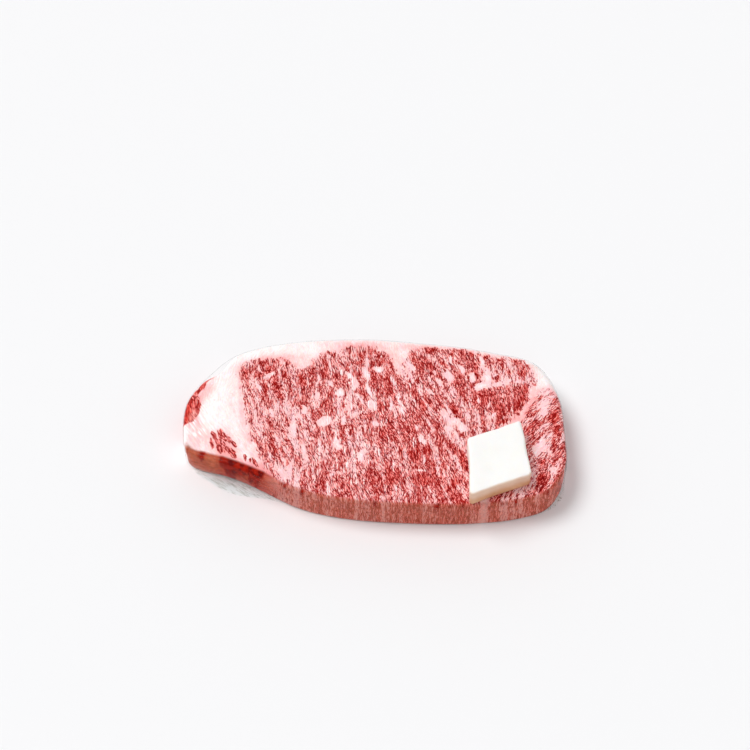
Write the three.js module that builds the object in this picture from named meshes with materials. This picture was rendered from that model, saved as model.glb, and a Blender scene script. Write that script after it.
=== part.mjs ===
import * as THREE from 'three';
import { mergeVertices } from 'three/addons/utils/BufferGeometryUtils.js';

// A raw wagyu sirloin steak, sealed in clear film, with a block of beef tallow lying on it.
// Millimetres, +Z up. The steak lies flat on Z = 0 with its length along X: the thin end, a wedge
// of fat, is at -X, the broad end at +X, and the long cap of fat runs along the far side, +Y.

// Driving dimensions of the steak, with the relief of its upper face
const STEAK_THICKNESS = 20;
const SOFT_SHOULDER_RADIUS = 5;
const CUT_SHOULDER_RADIUS = 3;
const THIN_END_DROP = 2.4;
const BROAD_END_DROP = 1.2;
const WAVE_HEIGHT = 0.35;
const SEAM_DEPTH = 0.6;
const SEAM_HALF_WIDTH = 6;
const FAT_CAP_RISE = 0.5;
const EDGE_SEGMENTS = 150;
const MIDDLE_STEP = 3;

// Driving dimensions of the tallow
const TALLOW_HEIGHT = 10.5;
const TALLOW_EDGE_RADIUS = 1.6;
const TALLOW_CORNER_RADIUS = 2.3;
const TALLOW_UNEVENNESS = 0.35;
const RESTING_GAP = 0.3;

// The film's outer edge, seen from above and anticlockwise, one curve through these points.
const STEAK_OUTLINE = [
  // the thin end
  [-100.5, 6], [-100.5, -8], [-99, -18], [-93, -23.6],
  // the near edge
  [-80, -28.6], [-62, -36.4], [-46, -43.6], [-30, -49.3], [-10, -53.3], [20, -55.6], [50, -55.8], [75, -53],
  // the broad end
  [91.5, -47], [98.5, -38.5], [101.2, -27], [101.2, -10], [100.2, 9], [96.5, 22.5], [90.5, 33], [82, 38.8],
  // the far edge, with its cap of fat
  [68, 42.4], [50, 46.4], [25, 49.5], [0, 51.8], [-25, 51.4], [-50, 48.6], [-70, 43.4],
  // the film drawn straight from the cap down to the tip
  [-78.5, 38.6], [-86, 31.2], [-94.2, 22], [-98.4, 15],
];

// The corners of the tallow's upper face, anticlockwise.
const TALLOW_CORNERS = [[49.4, -55.6], [81.4, -43.4], [76.8, -9.8], [48.8, -21]];

// Where the film's gathered hem lies out on the surface: its middle, its reach each way, its width.
const HEM_THICKNESS = 0.9;
const HEMS = [
  { x: -74, y: -31, reach: 27, width: 6 },
  { x: 98, y: -40, reach: 16, width: 1.6 },
];

// Where the side leans in towards the foot: its middle, its reach each way, and how far it leans.
const LEANING_SIDE = { x: -73, y: -30, reach: 42, depth: 3 };

// The seams of fat between the muscles, as X for a given Y.
const wedgeSeamX = (y) => -70.5 + 0.1 * Math.max(10 - y, 0) + 0.0052 * Math.max(10 - y, 0) ** 2;
const endSeamX = (y) => 76 + 0.42 * (y + 1) - 0.0035 * Math.max(-y, 0) ** 2;

const smoothstep = THREE.MathUtils.smoothstep;

// 1 at the middle of a rounded hump and 0 from its half width outwards.
function hump(distance, halfWidth) {
  return 1 - smoothstep(Math.abs(distance), 0, halfWidth);
}

const tallowMiddle = TALLOW_CORNERS.reduce((sum, [x, y]) => sum.add(new THREE.Vector2(x / 4, y / 4)),
  new THREE.Vector2());

// The upper face: a little thinner towards both ends, a groove along each seam, the fat cap proud of
// the lean, and a level spot where the tallow lies.
function faceHeight(x, y) {
  const thinEnd = THIN_END_DROP * smoothstep(-x, 62, 100) ** 2;
  const broadEnd = BROAD_END_DROP * smoothstep(x, 80, 101) ** 2;
  const waves = WAVE_HEIGHT * Math.sin(x / 17 + y / 31) * Math.cos(y / 19 - x / 47);
  const seams = hump(x - wedgeSeamX(y), SEAM_HALF_WIDTH) + hump(x - endSeamX(y), SEAM_HALF_WIDTH);
  const fatCap = FAT_CAP_RISE * hump(y - 47, 9) * smoothstep(-x, -30, 10);
  const form = waves - SEAM_DEPTH * seams + fatCap;
  const underTallow = 1 - smoothstep(tallowMiddle.distanceTo(new THREE.Vector2(x, y)), 24, 36);
  return STEAK_THICKNESS - thinEnd - broadEnd + form * (1 - underTallow);
}

// Unit normals that point out of a closed anticlockwise ring of points.
function outwardNormals(points) {
  const count = points.length;
  return points.map((_, i) => {
    const along = points[(i + 1) % count].clone().sub(points[(i + count - 1) % count]);
    return new THREE.Vector2(along.y, -along.x).normalize();
  });
}

// One closed solid through rings of equal count, from the lowest to the innermost upper ring. Points
// that meet become one, so the last ring may close on a line or a point.
function loft(rings) {
  const count = rings[0].length;
  const indices = [];
  for (let ring = 0; ring + 1 < rings.length; ring += 1) {
    for (let i = 0; i < count; i += 1) {
      const a = ring * count + i;
      const b = ring * count + ((i + 1) % count);
      indices.push(a, b, b + count, a, b + count, a + count);
    }
  }
  const underside = rings[0].map((point) => new THREE.Vector2(point.x, point.y));
  THREE.ShapeUtils.triangulateShape(underside, []).forEach(([a, b, c]) => indices.push(a, c, b));
  const merged = mergeVertices(new THREE.BufferGeometry().setFromPoints(rings.flat()).setIndex(indices));
  const corners = Array.from(merged.index.array);
  const faces = [];
  for (let i = 0; i < corners.length; i += 3) {
    const [a, b, c] = corners.slice(i, i + 3);
    if (a !== b && b !== c && c !== a) {
      faces.push(a, b, c);
    }
  }
  merged.setIndex(faces);
  merged.computeVertexNormals();
  return merged;
}

function steakGeometry() {
  const curve = new THREE.CatmullRomCurve3(
    STEAK_OUTLINE.map(([x, y]) => new THREE.Vector3(x, y, 0)), true, 'centripetal');
  const edge = curve.getSpacedPoints(EDGE_SEGMENTS).slice(0, EDGE_SEGMENTS)
    .map((point) => new THREE.Vector2(point.x, point.y));
  const normals = outwardNormals(edge);

  // A ring that stands off the edge by an amount that may differ from place to place.
  const ring = (offsetAt, heightAt) => edge.map((point, i) => {
    const place = point.clone().addScaledVector(normals[i], offsetAt(point, normals[i]));
    return new THREE.Vector3(place.x, place.y, heightAt(place, point, normals[i]));
  });
  const level = (z) => () => z;

  const hemWidth = (point) => HEMS.reduce((width, hem) => {
    const near = hump(point.distanceTo(new THREE.Vector2(hem.x, hem.y)), hem.reach);
    const crumple = 1 + 0.22 * Math.sin(point.x * 0.47) + 0.15 * Math.sin(point.x * 0.21);
    return width + hem.width * near * crumple;
  }, 0);
  const hemmed = (distance) => (point) => hemWidth(point) - distance;

  // Beside the thin end the side leans in towards its foot, by a share of its full lean at each ring.
  const leaning = (share, distance) => (point) => {
    const apart = point.distanceTo(new THREE.Vector2(LEANING_SIDE.x, LEANING_SIDE.y));
    return -distance - share * LEANING_SIDE.depth * hump(apart, LEANING_SIDE.reach);
  };

  // The fat edge is soft and round, and the near edge is cut more sharply.
  const shoulder = (normal) => THREE.MathUtils.lerp(
    CUT_SHOULDER_RADIUS, SOFT_SHOULDER_RADIUS, smoothstep(normal.y, -0.4, 0.7));
  const shoulderRing = (degrees) => {
    const angle = THREE.MathUtils.degToRad(degrees);
    return ring(
      (point, normal) => -0.3 - shoulder(normal) * (1 - Math.cos(angle)),
      (place, point, normal) => faceHeight(place.x, place.y) - shoulder(normal) * (1 - Math.sin(angle)));
  };

  // Towards the middle of the face the rings close on a line of even steps along the steak's length.
  const faceRing = (share) => shoulderRing(90).map((point) => {
    const middleX = Math.round((point.x * 0.72) / MIDDLE_STEP) * MIDDLE_STEP;
    const x = THREE.MathUtils.lerp(point.x, middleX, share);
    const y = THREE.MathUtils.lerp(point.y, -0.085 * middleX - 1.5, share);
    return new THREE.Vector3(x, y, faceHeight(x, y));
  });

  return loft([
    ring(hemmed(1.1), level(0)),
    ring(hemmed(0.5), level(HEM_THICKNESS)),
    ring(leaning(0.9, 0.35), level(HEM_THICKNESS + 1.2)),
    ring(leaning(0.45, 0), level(6.5)),
    ring(leaning(0, 0), level(11)),
    ...[0, 25, 50, 72, 90].map(shoulderRing),
    ...[0.07, 0.16, 0.28, 0.42, 0.56, 0.7, 0.85, 1].map(faceRing),
  ]);
}

// A polygon with rounded corners, each side divided so that the block can be uneven.
function roundedPolygon(corners, radius, arcSteps, sideSteps) {
  const count = corners.length;
  const points = [];
  corners.forEach((corner, i) => {
    const here = new THREE.Vector2(...corner);
    const before = new THREE.Vector2(...corners[(i + count - 1) % count]);
    const after = new THREE.Vector2(...corners[(i + 1) % count]);
    const arcStart = here.clone().add(before.clone().sub(here).setLength(radius));
    const arcEnd = here.clone().add(after.clone().sub(here).setLength(radius));
    const arc = new THREE.QuadraticBezierCurve(arcStart, here, arcEnd);
    points.push(...arc.getPoints(arcSteps));
    const nextStart = after.clone().add(here.clone().sub(after).setLength(radius));
    for (let step = 1; step < sideSteps; step += 1) {
      points.push(arcEnd.clone().lerp(nextStart, step / sideSteps));
    }
  });
  return points;
}

function tallowGeometry() {
  const edge = roundedPolygon(TALLOW_CORNERS, TALLOW_CORNER_RADIUS, 6, 6);
  const normals = outwardNormals(edge);
  const unevenness = (point, z) => TALLOW_UNEVENNESS
    * Math.sin(point.x / 5.1 + z / 4) * Math.sin(point.y / 6.3 + 1);
  const ring = (distance, z) => edge.map((point, i) => {
    const place = point.clone().addScaledVector(normals[i], unevenness(point, z) - distance);
    return new THREE.Vector3(place.x, place.y, z);
  });
  const rounded = (degrees) => {
    const angle = THREE.MathUtils.degToRad(degrees);
    return ring(TALLOW_EDGE_RADIUS * (1 - Math.cos(angle)),
      TALLOW_HEIGHT - TALLOW_EDGE_RADIUS * (1 - Math.sin(angle)));
  };
  // A knife-cut slab: square below, its upper edge softened, its face a little hollow.
  const hollow = (share, z) => rounded(90).map((point) => new THREE.Vector3(
    THREE.MathUtils.lerp(point.x, tallowMiddle.x, share),
    THREE.MathUtils.lerp(point.y, tallowMiddle.y, share), z));
  return loft([
    ring(1, 0),
    ring(0.2, 0.8),
    ring(-0.1, TALLOW_HEIGHT * 0.45),
    ...[0, 30, 60, 90].map(rounded),
    hollow(0.35, TALLOW_HEIGHT - 0.12),
    hollow(0.75, TALLOW_HEIGHT - 0.25),
    hollow(1, TALLOW_HEIGHT - 0.27),
  ]);
}

const steak = new THREE.Mesh(steakGeometry(),
  new THREE.MeshStandardMaterial({ color: 0xd4586a, roughness: 0.3, metalness: 0 }));
steak.name = 'steak';

const tallow = new THREE.Mesh(tallowGeometry(),
  new THREE.MeshStandardMaterial({ color: 0xfaf6ee, roughness: 0.5, metalness: 0 }));
tallow.name = 'tallow_block';
tallow.position.z = STEAK_THICKNESS + RESTING_GAP;

const wagyuSteak = new THREE.Group();
wagyuSteak.add(steak, tallow);

// The origin is the middle of the underside.
const bounds = new THREE.Box3().setFromObject(steak);
const middle = bounds.getCenter(new THREE.Vector3());
wagyuSteak.position.set(-middle.x, -middle.y, 0);
wagyuSteak.updateMatrixWorld(true);

export default wagyuSteak;
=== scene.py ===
# A raw wagyu sirloin steak sealed in clear film, with a block of beef tallow lying on it.
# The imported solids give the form. This script makes the meat, the film and the tallow over them.
# Lengths are in millimetres, and turn into metres where a mesh, lamp or camera is made.

import math

import bpy
import numpy as np
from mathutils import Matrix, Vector
from mathutils.bvhtree import BVHTree
from mathutils.geometry import delaunay_2d_cdt
from mathutils.kdtree import KDTree


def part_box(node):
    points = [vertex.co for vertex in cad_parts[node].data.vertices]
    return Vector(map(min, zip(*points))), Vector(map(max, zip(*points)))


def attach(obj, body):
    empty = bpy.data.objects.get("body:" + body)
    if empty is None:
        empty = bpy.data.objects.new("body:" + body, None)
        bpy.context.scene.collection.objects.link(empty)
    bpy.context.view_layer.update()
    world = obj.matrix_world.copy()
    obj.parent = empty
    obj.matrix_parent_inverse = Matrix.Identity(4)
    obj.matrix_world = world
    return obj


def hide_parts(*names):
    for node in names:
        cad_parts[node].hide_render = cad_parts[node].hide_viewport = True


MM = 0.001

# The fields that colour the meat are worked out on a grid over the steak.
GRID_STEP = 0.25
GRID_HALF_LENGTH = 106
GRID_HALF_WIDTH = 60

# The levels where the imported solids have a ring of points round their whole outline.
STEAK_RING_LEVEL = 11
TALLOW_RING_LEVEL = 25.025

# The meat
MEAT_INSET = 0.4
MEAT_UNDER_FILM = 0.28
SOFT_SHOULDER = 5.0
CUT_SHOULDER = 1.6
FACE_STEP = 0.53
EDGE_STEP = 0.55
UNDERSIDE_STEP = 1.5
FAT_RELIEF = 0.09
WALL_WAVES = 0.25
# How far in from the edge the pattern at the wall's foot is taken
PATTERN_REACH = 3.5
# The heights of the wall's rings, as shares of the height where the shoulder ends
MEAT_RINGS = (0.85, 0.7, 0.55, 0.4, 0.25, 0.13)
# How far in from the near edge the side's colour and painted shade reach on the face: mostly, and at the
# thin end
EDGE_STRIPS = (1.8, 3.8)
# Blood on the side: middle, reach and strength
STAINS = [(-73.5, -27.3, 12.0, 1.05), (-62.5, -32.5, 8.5, 0.85), (-67.0, -30.5, 6.0, 0.25)]
# Where the film bridges a hollow: middle, reach, and how far the meat stays behind the film
HOLLOWS = [(-83.0, 34.5, 13.0, 3.0), (98.0, -38.0, 17.0, 0.9)]
# Where the side leans in towards its foot: middle, reach and depth, as in the solid
LEANING_SIDE = (-73.3, -27.9, 42.0, 3.0)
# The height where that lean starts, and the height over which it grows
LEAN_START = 11
LEAN_GROWTH = 9.9

# The film
FILM_THICKNESS = 0.06
FILM_FACE_STEP = 0.95
FILM_EDGE_STEP = 0.8
FILM_UNDERSIDE_STEP = 3.0
FILM_UNDER_SOLID = 0.06
FILM_RINGS = (0.8, 0.6, 0.42, 0.26)
# Where the film is gathered at the foot: middle, reach and how far the hem stands out
HEMS = [(-74.3, -28.9, 27.0, 6.0), (97.7, -37.9, 16.0, 1.6)]
# Pale lines painted on the meat as highlights of the stretched film: the half size of the upright ones'
# area, and the slanted ones' place
UPRIGHT_HIGHLIGHTS_HALF_SIZE = 38
SLANTED_HIGHLIGHTS = (-93.0, 0.5, 13.0, 1.0)

# The tallow
TALLOW_SHOULDER = 1.5
TALLOW_EDGE_STEP = 0.45
TALLOW_FACE_STEP = 0.5
TALLOW_UNDERSIDE_STEP = 1.2
TALLOW_RINGS = (0.86, 0.72, 0.58, 0.44, 0.3, 0.16)

# The direction of the grain in degrees anticlockwise from +X, at places on the face of each muscle
EYE_GRAIN = [
    (-63, 18, 104), (-62, 4, 112), (-60, -8, 119), (-58, -22, 113), (-60, 32, 95), (-45, 22, 98),
    (-45, -18, 99), (-30, 20, 93), (-30, -20, 94), (-5, 30, 93), (-5, 0, 95), (-5, -22, 103),
    (14, 34, 94), (24, 28, 118), (24, 5, 106), (20, -25, 98), (40, 32, 116), (40, 14, 120),
    (45, -18, 112), (60, 35, 106), (75, 32, 100), (60, 8, 96), (76, 14, 80),
]
END_GRAIN = [
    (92, 15, 24), (85, 6, 36), (86, -2, 52), (94, 2, 70), (84, -13, 60), (91, -12, 58), (93, -25, 70),
    (87, -36, 72),
]
WEDGE_GRAIN = [
    (-84, -12, 108), (-78, -14, 116), (-73, -20, 124), (-60, -30, 112), (-98, 8, 100), (-93, 20, 50),
]
GRAIN_REACH = 11.0

# The edge of the main muscle, seen from above. It is open towards the near edge, where it runs out.
EYE_EDGE = [
    (-45, -62), (-47, -42), (-52.5, -37), (-55, -31.5), (-57.5, -27), (-59.5, -22), (-61, -18),
    (-62.5, -14), (-64, -10), (-65.5, -6), (-66.5, -2), (-67.5, 3), (-68.5, 8), (-69.3, 13), (-70, 18),
    (-70.6, 23), (-71.6, 28), (-72.3, 31), (-71, 34.3), (-68.5, 36.2), (-66, 37), (-62.5, 37.8),
    (-58, 38.2), (-50, 38.3), (-46, 37.5), (-44, 35), (-41, 32.5), (-37, 32), (-35, 33.5), (-33, 36.5),
    (-30, 39.5), (-26, 42.2), (-22, 44.4), (-12, 46.2), (-5, 46.7), (0, 46), (4, 44.5), (8.5, 42.6),
    (9.8, 38), (10.3, 30), (13, 26.5), (16, 30), (17.5, 38), (20, 43), (27, 46), (45, 46), (52, 45),
    (58, 42.5), (65, 41), (70, 40.5), (78, 39.5), (82, 37), (84.5, 34), (86.3, 30), (86, 26), (85, 22),
    (83.5, 18), (82, 14), (80.3, 10), (78.3, 6), (75.8, 3), (72.5, 0), (66, -10), (60, -24), (55, -40),
    (53, -62),
]
END_MUSCLE = [
    (58, -62), (62, -40), (67, -25), (74, -13), (78, -3), (81.5, 3.5), (85, 9.5), (87, 15),
    (89.5, 18.5), (93, 19), (97, 15.5), (101, 9), (106, 0), (106, -62),
]
TIP_MUSCLE = [
    (-104, 14), (-101, 15.7), (-99, 16.8), (-97, 17), (-95.4, 19.5), (-93, 23.8), (-90, 27.1),
    (-84.5, 29.8), (-86.5, 26.2), (-90, 22.8), (-91.3, 19.5), (-93, 17.5), (-91.9, 13), (-91.5, 9),
    (-92.3, 6), (-93.9, 2.6), (-96.1, 0), (-98.7, -2), (-104, -2),
]
# Short streaks of lean in the wedge of fat: middle, half sizes across and along, direction
WEDGE_STREAKS = [
    (-85, -14.6, 0.8, 3.0, 105), (-84, -9.8, 1.0, 2.6, 108), (-82.6, -13, 0.9, 3.6, 115),
    (-81, -17.6, 1.1, 3.8, 103), (-79.2, -10.2, 1.9, 4.0, 122), (-80.2, -6.4, 0.45, 1.5, 112),
    (-79.2, -19.2, 1.4, 2.2, 140), (-80.3, -13.6, 0.5, 2.6, 108), (-78.4, -15.6, 0.5, 1.8, 100),
    (-75.3, -12.8, 0.8, 2.6, 118), (-73.6, -15.6, 1.0, 2.2, 112), (-76.2, -13.6, 0.6, 2.2, 120),
    (-76, -20, 0.9, 2.6, 125), (-73.6, -21.8, 1.2, 3.2, 128), (-67.2, -24.2, 0.7, 1.8, 95),
    (-64.6, -25.8, 0.45, 1.1, 100), (-61.8, -27.2, 0.9, 3.2, 118), (-61.3, -15, 0.4, 3.0, 112),
]

# Where the pure fat is pinker: middle, half sizes across and along, direction, amount
PINK_FAT = [
    (-8, 48, 3.5, 18, 0, 0.3), (24, 47, 3.0, 16, 0, 0.22), (-48, 39.5, 2.4, 16, 4, 0.25),
    (-39, 37, 4, 5, 20, 0.2), (12.5, 37, 4, 10, 90, 0.2), (97, 14, 2.5, 6, 110, 0.4),
    (82.5, 9, 2.2, 10, 66, 0.3), (-80, -20, 8, 14, 130, 0.3), (-78, -16, 5.5, 9, 118, 0.5),
    (-66, -14, 1.8, 20, 106, 0.15), (-66, -28.5, 2.6, 9, 153, 0.5), (-57, -31, 3.5, 7, 140, 0.4),
    (-70.6, 12, 1.1, 22, 95, 0.15), (-89, 18, 3, 8, 60, 0.35), (-93, -2, 3, 6, 124, 0.3),
    (-56, -37, 4, 9, 150, 0.3), (-94, -11, 5, 10, 95, 0.3), (75, 0, 3, 3, 0, 0.3),
]

# How lean the meat is: middle, reach, and a push towards lean or, below 0, towards fat
LEANNESS = [
    (-64, 31, 8, 0.35), (-52, 30, 10, 0.05), (-60, 0, 16, -0.20), (-50, -25, 16, -0.30),
    (-30, 25, 15, -0.12), (-30, -20, 16, -0.25), (-8, 28, 13, -0.15), (-2, 2, 15, -0.05),
    (-10, -14, 10, 0.1), (6, -18, 15, 0.32), (26, 32, 13, -0.20), (25, 0, 15, 0.22), (35, 0, 35, 0.1),
    (28, -28, 18, 0.45), (62, 32, 13, 0.15), (75, 34, 8, 0.5), (66, 10, 13, 0.38), (50, 14, 9, 0.20),
    (91, 14, 7, -1.50), (90, 9, 7, -0.7), (88, -6, 14, 0.2), (86, 3, 7, -0.4), (87, -12, 9, -0.5),
    (92, -26, 9, -0.7), (-42, 34, 6, -0.4), (-50, -40, 9, -0.7),
]

# Deep red patches: middle, half sizes across and along, direction, depth
LEAN_PATCHES = [
    (-67.5, 30.5, 3.6, 4.2, 80, 0.9), (-62, 28.5, 2.2, 2.6, 40, 0.9), (-56.3, 32, 1.8, 4.0, 95, 0.9),
    (-57.8, 19, 1.7, 4.6, 108, 0.9), (-50.5, 20, 1.4, 3.0, 10, 0.7), (-49, 15, 1.4, 1.8, 100, 0.8),
    (-39.4, 26, 1.6, 4.0, 98, 1.0), (-48, 28, 1.4, 5.0, 98, 0.7), (-50.5, 35, 0.9, 2.5, 95, 0.6),
    (-57.6, -18, 1.6, 5.0, 106, 0.9), (-47.8, -19, 1.5, 5.5, 98, 0.9),
    (-44.8, -26.5, 1.2, 2.6, 105, 0.8), (-51.5, -21, 0.8, 3.4, 108, 0.5),
    (-7.5, 42, 1.6, 3.4, 118, 0.9), (-1, 43.3, 1.5, 3.5, 175, 0.8), (4.3, 36.8, 1.5, 2.1, 80, 1.0),
    (-8.5, 37, 1.5, 2.6, 20, 0.8), (-25.6, 31, 1.1, 5.5, 91, 0.9), (-26.6, 9, 1.5, 2.7, 80, 0.9),
    (-6.3, 16.5, 1.0, 3.6, 118, 0.7), (3.5, 26, 2.4, 3.2, 90, 0.7), (7.3, 25, 1.2, 5.0, 92, 0.9),
    (-3, 2, 1.6, 2.8, 90, 0.8), (4, -9, 1.6, 3.4, 95, 0.7), (25.8, 8, 1.5, 4.6, 97, 0.9),
    (14.2, 12, 1.6, 2.2, 20, 0.5), (14, -22, 1.2, 5.5, 94, 0.9), (9.5, -36.5, 4.4, 4.8, 90, 0.9),
    (21.5, -22.5, 3.2, 6.6, 95, 1.0), (27, -20, 1.8, 3.6, 100, 0.8), (31, -30, 1.6, 4.0, 95, 0.8),
    (36, -30, 1.6, 4.6, 95, 0.8), (26, -38.5, 2.8, 7.0, 0, 0.9), (46.6, -26, 1.5, 11.0, 93, 0.8),
    (41.5, -38.5, 3.4, 3.5, 90, 0.9), (4.8, 7.5, 0.9, 5.0, 92, 0.7), (-12.3, 9.5, 1.1, 2.8, 90, 0.6),
    (-34, 19, 0.8, 5.0, 95, 0.6), (31, 44, 1.5, 4.5, 10, 1.0), (43, 42, 1.0, 3.5, 95, 0.9),
    (52.5, 42, 1.3, 2.4, 110, 0.9), (61, 40, 1.6, 2.2, 60, 0.9), (37.5, 36, 1.2, 2.6, 125, 0.9),
    (55.8, 35, 1.2, 3.4, 95, 1.0), (57.5, 28, 1.2, 2.2, 95, 0.8), (64, 36, 2.6, 3.2, 20, 0.5),
    (73, 30, 1.8, 3.4, 20, 0.7), (80.5, 30, 1.8, 3.0, 30, 1.0), (80, 19, 2.2, 4.2, 62, 1.0),
    (78, 11, 2.6, 5.5, 66, 0.95), (66, 7, 4.6, 5.4, 90, 0.6), (61, -1.5, 2.6, 4.0, 30, 0.6),
    (67, -1.5, 2.4, 5.0, 20, 0.7), (42.3, 6.5, 2.0, 4.5, 100, 0.9), (36, 14, 1.1, 4.4, 118, 0.6),
    (53, 4, 0.9, 5.0, 98, 0.5), (58, 12, 2.0, 3.4, 90, 0.6), (95, 0.5, 2.4, 4.5, 95, 1.1),
    (95.3, -7, 1.6, 3.5, 90, 0.8), (94.5, -15, 1.4, 4.5, 88, 0.8), (87.7, -27.5, 1.4, 2.8, 58, 1.0),
    (86, -36.5, 2.2, 4.4, 80, 1.0), (83.4, -11, 0.7, 3.2, 60, 0.7), (85.2, -3, 0.7, 3.8, 55, 0.7),
    (87.8, -9, 0.7, 3.6, 60, 0.7), (86, 5, 0.6, 4.0, 38, 0.8), (83.5, 1.5, 0.5, 3.0, 42, 0.8),
    (88.3, 14, 0.45, 3.2, 32, 1.0), (94.2, 13.2, 0.45, 2.6, 170, 1.0), (81.5, -6, 0.6, 4.0, 62, 0.6),
    (90, -3, 0.6, 3.6, 62, 0.6),
]

# Flecks of fat large enough to know one by one: middle, half sizes across and along, direction, whiteness
FLECKS = [
    (-61.5, 21, 1.1, 5.5, 110, 0.7), (-55, 28.3, 2.3, 3.6, 50, 0.7), (-62.3, 12, 1.2, 2.0, 100, 0.55),
    (-54.2, 4, 1.6, 2.8, 100, 0.65), (-42.3, -4, 1.7, 8.0, 92, 0.85), (-37.3, 6.5, 2.0, 4.0, 95, 0.75),
    (-38.8, 15, 1.0, 5.0, 97, 0.55), (-48, -33.5, 3.6, 6.0, 125, 0.6), (-37.6, -20, 1.4, 5.0, 95, 0.85),
    (-42.5, -31, 1.6, 6.5, 88, 0.7), (-51, -12, 1.3, 3.4, 105, 0.6), (-35.8, -9, 1.0, 4.5, 92, 0.55),
    (-51, 8, 0.9, 2.5, 100, 0.45), (-61, -3, 0.8, 3.0, 118, 0.45), (-44, 13, 0.8, 3.2, 95, 0.45),
    (-61.3, 32.5, 0.7, 2.5, 95, 0.5), (-56.5, -5, 0.7, 2.8, 114, 0.4), (-3.8, 36.5, 1.5, 4.0, 90, 0.8),
    (-3.6, 28, 1.5, 6.5, 92, 0.85), (-2.8, 18.5, 1.5, 6.0, 97, 0.8), (-1, 8.5, 2.3, 4.0, 100, 0.85),
    (-7.5, 13, 1.3, 4.5, 120, 0.65), (-10.3, 22, 1.2, 5.0, 88, 0.65), (3, 32.3, 2.0, 3.4, -18, 1.0),
    (-17.7, 17.4, 2.5, 2.8, 90, 1.0), (-12.7, 28.2, 1.6, 4.0, 125, 0.8), (-18, 32, 1.0, 4.5, 95, 0.6),
    (-26.6, -0.8, 3.3, 4.2, 0, 0.85), (-16.3, -1.2, 1.6, 4.2, 95, 0.8), (-10.2, 3.5, 1.1, 3.5, 80, 0.6),
    (-20, -15.3, 1.6, 4.6, 98, 0.85), (-7.2, -23, 1.6, 4.2, 92, 0.95), (0.5, -2.8, 1.8, 2.2, 90, 0.75),
    (-22.6, 23.2, 1.1, 2.3, 95, 0.75), (-29.5, 27, 0.9, 4.5, 100, 0.55),
    (-28.5, -17, 1.1, 4.5, 95, 0.5), (-14, -8.5, 0.9, 2.6, 110, 0.5), (-30, 16, 0.8, 4.0, 93, 0.45),
    (8.6, 7.8, 1.5, 3.2, 95, 0.6), (14, 6, 1.2, 3.6, 95, 0.5), (21, 34, 0.9, 5.0, 114, 0.65),
    (19, 22, 0.9, 4.0, 105, 0.55), (24.5, 17, 1.4, 3.5, 120, 0.55), (30.5, 17, 1.0, 3.6, 125, 0.65),
    (25.5, -12, 1.8, 5.0, 95, 0.55), (23, -6, 1.1, 3.0, 110, 0.55), (26.3, -27, 0.9, 4.0, 100, 0.6),
    (23.5, -32, 1.5, 4.0, 0, 0.55), (10.5, -28, 1.3, 3.4, 110, 0.45), (-14, -28, 1.2, 3.0, 80, 0.6),
    (-21, -33, 1.3, 4.4, 95, 0.45), (-31, -34, 1.3, 4.0, 95, 0.45), (38.3, 3, 1.7, 4.5, 115, 0.8),
    (42.5, -2, 2.6, 4.5, 150, 0.85), (46.3, -5, 2.8, 4.0, 140, 0.9), (40, -6, 1.6, 4.0, 110, 0.6),
    (50.3, 2, 1.3, 2.4, 95, 0.65), (47.8, 9.5, 1.0, 3.2, 108, 0.6), (42, 38, 1.6, 3.6, 100, 0.7),
    (47.5, 31, 1.4, 4.6, 95, 0.7), (40, 27, 2.6, 4.6, 105, 0.7), (35, 23, 1.6, 4.2, 130, 0.7),
    (32.5, 29.5, 1.0, 3.5, 118, 0.5), (52.3, 26.8, 1.8, 3.4, 95, 0.85), (58, 37, 1.5, 4.4, 98, 0.85),
    (61.4, 26.8, 2.3, 5.6, 86, 1.0), (58.2, 20.6, 2.7, 4.6, 15, 0.95), (66, 22.0, 1.9, 3.4, 0, 0.75),
    (72.5, 23.6, 1.3, 3.4, 25, 0.65), (78.5, 24.4, 1.0, 3.4, 5, 0.62), (82.5, 26.5, 0.7, 2.4, 50, 0.5),
    (65.5, 29, 1.7, 2.0, 90, 0.5), (56, 11.5, 1.3, 2.8, 100, 0.6), (64, 2.5, 0.9, 2.0, 20, 0.55),
    (87.6, -17, 2.4, 5.5, 75, 0.75), (85, -22, 1.6, 3.6, 75, 0.7), (91.5, -12, 1.1, 4.2, 62, 0.55),
    (90.7, -20, 1.2, 3.5, 75, 0.6), (92.5, -32, 2.4, 4.5, 80, 0.5), (90, 5, 1.6, 4.5, 75, 0.7),
]

# The camera, solved from the photograph: a 750 pixel square frame
CAMERA_PLACE = (-4.31, -602.57, 925.87)
CAMERA_TURN = (34.846, -0.151, -0.239)
CAMERA_LENS = 98.9

# The studio: bright walls, a dimmer ceiling, and two broad lamps, each with its azimuth, elevation,
# spread in degrees and strength
WALL_LIGHT = 0.8
CEILING_LIGHT = 0.28
LAMPS = {"key": (72, 58, 30, 1.86), "fill": (-160, 50, 60, 0.5)}
FLOOR_HALF_SIZE = 4000
FLOOR_LEVEL = -0.1

# Colours as they show on screen, at the low and the high end of a noise
# Painted shade of the meat's near side: a brown filter that darkens it
SIDE_SHADE_FILTER = [(0.35, (160, 82, 57)), (0.65, (198, 114, 83))]
SKIN_COLOURS = [(0.35, (176, 88, 66)), (0.65, (204, 118, 92))]
STAIN_COLOURS = [(0.38, (96, 0, 0)), (0.62, (168, 30, 10))]
TALLOW_TOP = [(0.3, (251, 249, 244)), (0.7, (253, 252, 250))]
# Painted shade on the tallow's sides: warm and darkest on the front
TALLOW_SHADED_FLANK = [(0.3, (200, 142, 100)), (0.7, (214, 164, 124))]
BLOOD_FILTER = (246, 130, 104)

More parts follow.
